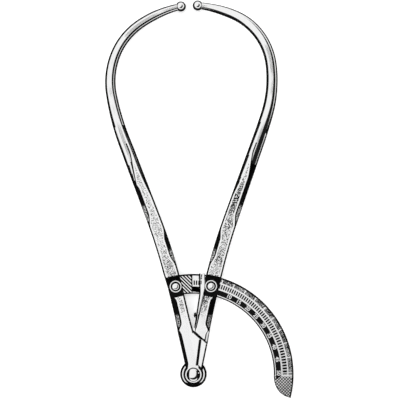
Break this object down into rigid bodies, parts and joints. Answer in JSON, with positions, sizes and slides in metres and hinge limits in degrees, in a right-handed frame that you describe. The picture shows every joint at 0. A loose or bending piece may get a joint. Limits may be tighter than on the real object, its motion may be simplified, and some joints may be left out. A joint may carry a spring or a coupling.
{
  "type": "pelvimeter",
  "caption": "Firm-joint pelvimeter: two bowed steel arms with ball tips on a half-lap pivot, read on a graduated arc that a screw clamps in the slotted leg.",
  "frame": {"origin": "on the pivot's axis, at the rear face of the pivot screw and its nut, which is the plane the instrument lies on", "axes": "+Z towards the instrument's front face, +Y from the pivot to the ball tips, +X to the side where the graduated arc sticks out"},
  "size_m": [0.1972, 0.4253, 0.0118],
  "materials": {
    "forged_steel": "polished nickel plate on steel, satin stippled front faces",
    "polished_steel": "mirror polished nickel plate on steel",
    "scale_steel": "satin steel with filled graduations",
    "plain_steel": "plain turned steel"
  },
  "bodies": {
    "right_side": {"right_arm": "forged_steel", "right_ball_tip": "polished_steel", "index_leaf": "scale_steel", "index_leaf_screw": "polished_steel", "clamp_bush": "polished_steel", "pivot_screw": "polished_steel", "pivot_spring_washer": "plain_steel", "pivot_nut": "plain_steel"},
    "left_side": {"left_arm": "forged_steel", "left_ball_tip": "polished_steel", "scale_arc": "scale_steel", "arc_anchor_screw": "polished_steel", "arc_anchor_collar": "polished_steel", "arc_anchor_nut": "plain_steel"},
    "pad": {"clamp_pad": "plain_steel"},
    "clamp": {"clamp_screw": "polished_steel"}
  },
  "joints": [
    {"name": "leg_pivot", "type": "hinge", "parent": "right_side", "child": "left_side", "pos_m": [0, 0, 0], "axis": [0, 0, 1], "range_deg": [-1.05, 78]},
    {"name": "clamp_turn", "type": "hinge", "parent": "right_side", "child": "clamp", "pos_m": [0.01985, 0.09398, 0.0085], "axis": [0, 0, 1], "range_deg": [-120, 240]},
    {"name": "pad_play", "type": "slide", "parent": "right_side", "child": "pad", "axis": [0, 0, 1], "range_m": [-0.00025, 0.0002]}
  ]
}
